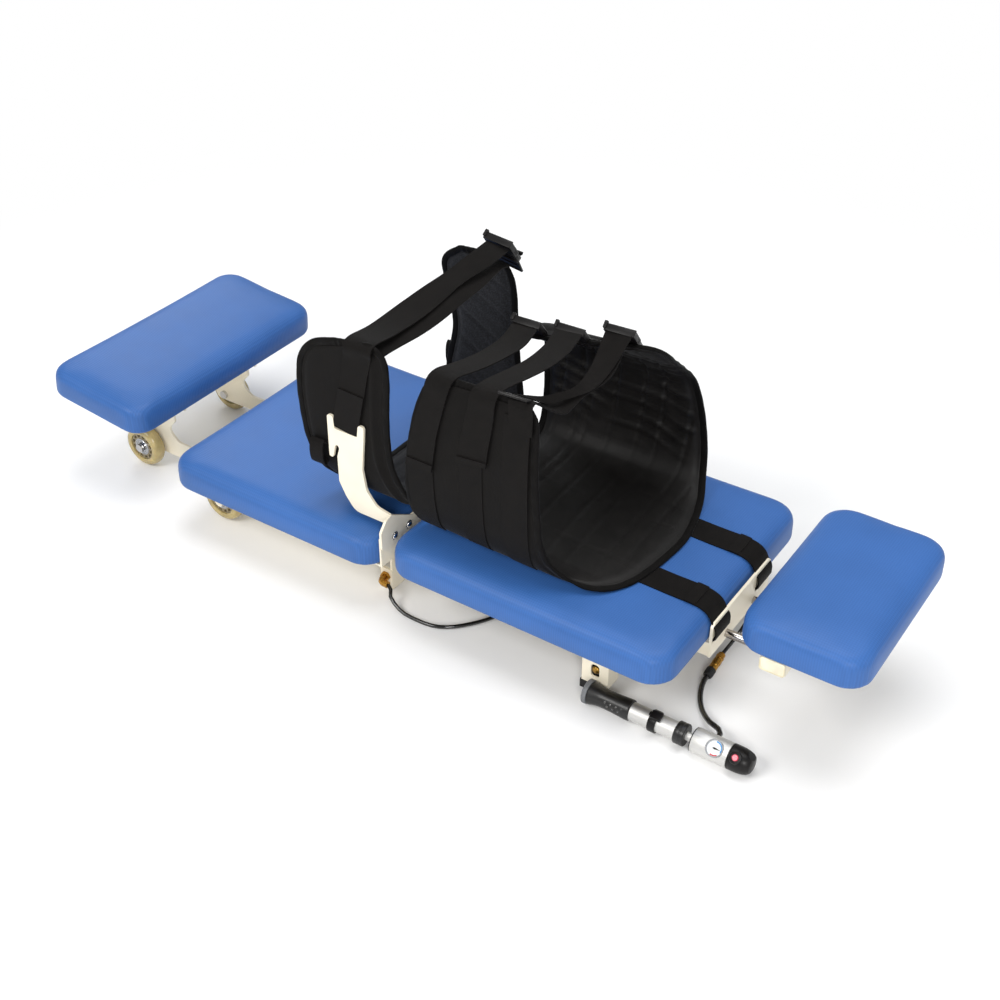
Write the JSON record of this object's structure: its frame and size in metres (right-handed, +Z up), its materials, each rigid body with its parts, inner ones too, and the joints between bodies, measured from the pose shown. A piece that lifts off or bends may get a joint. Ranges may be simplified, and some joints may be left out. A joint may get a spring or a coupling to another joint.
{
  "type": "lumbar traction table",
  "caption": "Low floor-standing lumbar traction table with padded head, thorax, pelvis and leg sections, harnesses, rolling slide and hand air pump.",
  "frame": {"origin": "on the floor under the middle of the table's length and width", "axes": "+X towards the foot end, +Y away from the pump's side, +Z up"},
  "size_m": [1.3968, 0.438, 0.488],
  "materials": {
    "blue_vinyl": "ribbed blue vinyl upholstery",
    "plywood": "raw birch plywood",
    "cream_steel": "cream powder coat",
    "amber_tyre": "translucent amber polyurethane",
    "dark_core": "smoked moulded plastic",
    "chrome": "bright plating",
    "silver_aluminium": "clear anodised",
    "black_rubber": "matt black",
    "grey_plastic": "moulded grey",
    "black_plastic": "moulded satin black",
    "dial_white": "printed white",
    "red_plastic": "moulded red",
    "brass": "yellow zinc and brass",
    "black_fabric": "black nylon webbing and cloth"
  },
  "bodies": {
    "pelvis_section": {"pelvis_cushion": "blue_vinyl", "pelvis_board": "plywood", "base_rail_near": "cream_steel", "base_rail_far": "cream_steel", "gap_foot": "cream_steel", "head_bearer": "cream_steel", "foot_beam": "cream_steel", "rubber_foot_near": "black_rubber", "rubber_foot_far": "black_rubber", "crossbar": "cream_steel", "air_cylinder": "silver_aluminium", "air_elbow": "brass", "hose_loop": "black_rubber", "supply_tube": "black_rubber", "quick_coupling": "brass", "coupling_sleeve": "black_rubber", "pump_hose": "black_rubber", "pump_head": "silver_aluminium", "pump_head_cap": "black_plastic", "gauge_dial": "dial_white", "pelvic_belt": "black_fabric", "belt_buckle_head": "black_plastic", "belt_buckle_middle": "black_plastic", "belt_buckle_foot": "black_plastic", "pull_strap_near": "black_fabric", "pull_strap_far": "black_fabric"},
    "chest_section": {"head_cushion": "blue_vinyl", "thorax_cushion": "blue_vinyl", "thorax_board": "plywood", "arm_near": "cream_steel", "arm_far": "cream_steel", "head_pan": "cream_steel", "slide_frame": "cream_steel", "thorax_channel": "cream_steel", "thorax_pan": "cream_steel", "thorax_bracket_near": "cream_steel", "thorax_bracket_far": "cream_steel", "head_axle_near": "chrome", "head_axle_far": "chrome", "piston_rod": "chrome", "thorax_harness": "black_fabric", "chest_buckle": "black_plastic"},
    "leg_rest": {"leg_cushion": "blue_vinyl", "leg_board": "plywood", "leg_carrier": "cream_steel"},
    "pump_handle": {"grip_ring": "grey_plastic", "pump_grip": "black_rubber", "pump_barrel": "silver_aluminium", "pump_clip": "black_plastic", "barrel_collar": "black_plastic"},
    "release_button": {"release_button": "red_plastic"},
    "gauge_needle": {"gauge_needle": "black_plastic"},
    "head_wheel_near": {"head_wheel_near_tyre": "amber_tyre", "head_wheel_near_core": "dark_core"},
    "head_wheel_far": {"head_wheel_far_tyre": "amber_tyre", "head_wheel_far_core": "dark_core"},
    "thorax_wheel_near": {"thorax_wheel_near_tyre": "amber_tyre", "thorax_wheel_near_core": "dark_core"},
    "thorax_wheel_far": {"thorax_wheel_far_tyre": "amber_tyre", "thorax_wheel_far_core": "dark_core"}
  },
  "joints": [
    {"name": "traction_slide", "type": "slide", "parent": "pelvis_section", "child": "chest_section", "axis": [-1, 0, 0], "range_m": [0, 0.1]},
    {"name": "leg_rest_slide", "type": "slide", "parent": "pelvis_section", "child": "leg_rest", "axis": [1, 0, 0], "range_m": [-0.03, 0.055]},
    {"name": "pump_stroke", "type": "slide", "parent": "pelvis_section", "child": "pump_handle", "axis": [-1, 0, 0], "range_m": [0, 0.058]},
    {"name": "button_press", "type": "slide", "parent": "pelvis_section", "child": "release_button", "axis": [0, 0.682, -0.7314], "range_m": [0, 0.0015], "stiffness_N_per_m": 1500},
    {"name": "needle_turn", "type": "hinge", "parent": "pelvis_section", "child": "gauge_needle", "pos_m": [0.5337, -0.20241, 0.03181], "axis": [0, -0.682, 0.7314], "range_deg": [-270, 0]},
    {"name": "head_wheel_near_spin", "type": "hinge", "parent": "chest_section", "child": "head_wheel_near", "pos_m": [-0.616, -0.109, 0.038], "axis": [0, 1, 0], "continuous": true},
    {"name": "head_wheel_far_spin", "type": "hinge", "parent": "chest_section", "child": "head_wheel_far", "pos_m": [-0.616, 0.109, 0.038], "axis": [0, 1, 0], "continuous": true},
    {"name": "thorax_wheel_near_spin", "type": "hinge", "parent": "chest_section", "child": "thorax_wheel_near", "pos_m": [-0.392, -0.15, 0.038], "axis": [0, 1, 0], "continuous": true},
    {"name": "thorax_wheel_far_spin", "type": "hinge", "parent": "chest_section", "child": "thorax_wheel_far", "pos_m": [-0.392, 0.15, 0.038], "axis": [0, 1, 0], "continuous": true}
  ]
}
